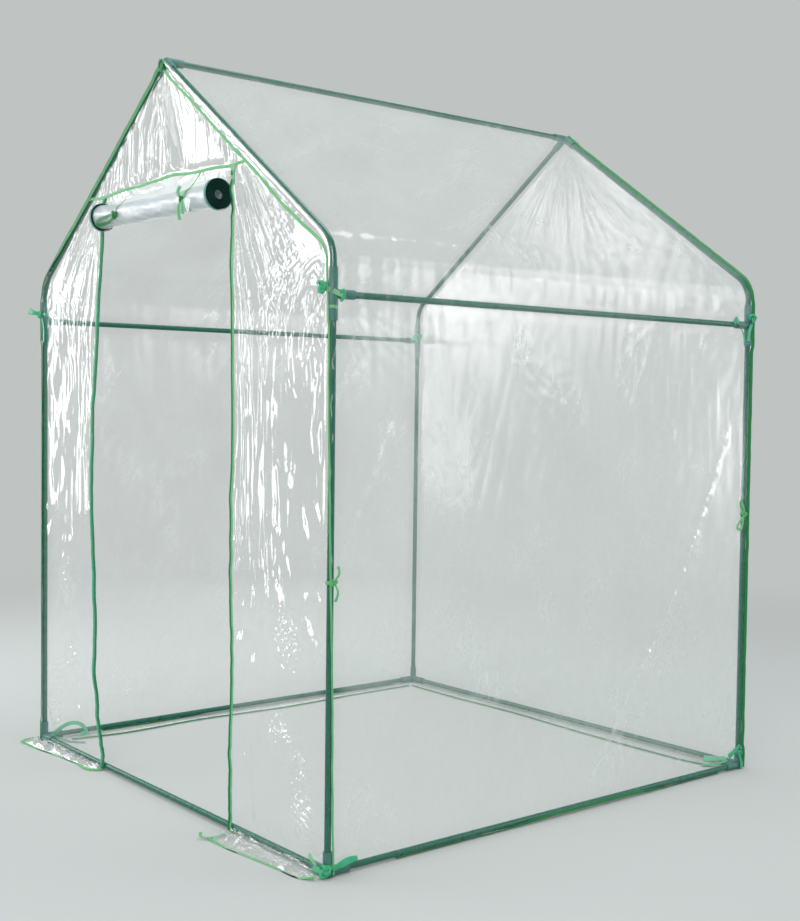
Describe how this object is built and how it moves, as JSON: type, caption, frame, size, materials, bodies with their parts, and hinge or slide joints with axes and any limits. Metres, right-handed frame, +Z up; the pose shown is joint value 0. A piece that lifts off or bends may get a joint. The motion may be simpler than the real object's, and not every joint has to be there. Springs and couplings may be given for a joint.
{
  "type": "walk-in film greenhouse",
  "caption": "Small gabled walk-in greenhouse: a green tube frame with moulded connectors under a clear film cover with a rolled-up door.",
  "frame": {"origin": "centre of the footprint on the ground, front flaps included", "axes": "+X to the right along the front, +Y from the doorway to the back, +Z up"},
  "size_m": [1.5876, 1.6232, 2.0001],
  "materials": {
    "coated_tube": "dark green gloss coating",
    "connector_plastic": "moulded, grey-green",
    "clear_film": "clear, wrinkled",
    "hazy_film": "clear with a faint haze, taut",
    "zip_tape": "woven dark green tape"
  },
  "bodies": {
    "root": {"back_base_rail": "coated_tube", "back_film": "hazy_film", "back_inner_skirt": "hazy_film", "back_left_base_connector": "connector_plastic", "back_left_eave_connector": "connector_plastic", "back_left_post": "coated_tube", "back_left_rafter": "coated_tube", "back_ridge_connector": "connector_plastic", "back_right_base_connector": "connector_plastic", "back_right_eave_connector": "connector_plastic", "back_right_post": "coated_tube", "back_right_rafter": "coated_tube", "front_base_rail": "coated_tube", "front_gable_film": "clear_film", "front_left_base_connector": "connector_plastic", "front_left_eave_connector": "connector_plastic", "front_left_film": "clear_film", "front_left_post": "coated_tube", "front_left_rafter": "coated_tube", "front_ridge_connector": "connector_plastic", "front_right_base_connector": "connector_plastic", "front_right_eave_connector": "connector_plastic", "front_right_film": "clear_film", "front_right_post": "coated_tube", "front_right_rafter": "coated_tube", "left_base_rail": "coated_tube", "left_door_zip": "zip_tape", "left_eave_rail": "coated_tube", "left_front_skirt": "clear_film", "left_inner_skirt": "hazy_film", "left_roof_film": "hazy_film", "left_shoulder_film": "hazy_film", "left_wall_film": "hazy_film", "left_zip_coil": "zip_tape", "ridge_tube": "coated_tube", "right_base_rail": "coated_tube", "right_door_zip": "zip_tape", "right_eave_rail": "coated_tube", "right_front_skirt": "clear_film", "right_inner_skirt": "hazy_film", "right_roof_film": "hazy_film", "right_shoulder_film": "hazy_film", "right_wall_film": "hazy_film", "right_zip_coil": "zip_tape", "rolled_door": "clear_film"}
  },
  "joints": []
}
